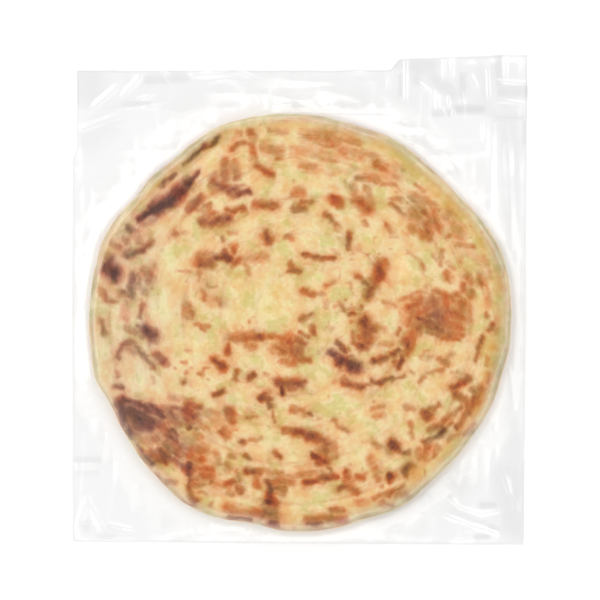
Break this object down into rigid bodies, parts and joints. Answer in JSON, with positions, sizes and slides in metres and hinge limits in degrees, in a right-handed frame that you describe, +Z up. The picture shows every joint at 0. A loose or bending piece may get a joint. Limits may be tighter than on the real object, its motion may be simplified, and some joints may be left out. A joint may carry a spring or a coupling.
{
  "type": "katmer flatbread in a clear film bag",
  "caption": "Round coiled and layered flatbread, griddle browned, lying flat in a clear film bag that is sealed all round.",
  "frame": {"origin": "on the surface the pack lies on, below the middle of the bag's outline", "axes": "+Z up out of the bread's browned face, +Y along the bag towards its wide top seal, +X to the right seen from above"},
  "size_m": [0.258, 0.278, 0.0088],
  "materials": {
    "baked_dough": "pale golden griddled dough with an oily sheen, scorched brown to purple black in streaks along the coil",
    "clear_film": "clear glossy polypropylene film, wrinkled, slightly milky where it is sealed"
  },
  "bodies": {
    "root": {"katmer_pack": "baked_dough"}
  },
  "joints": []
}
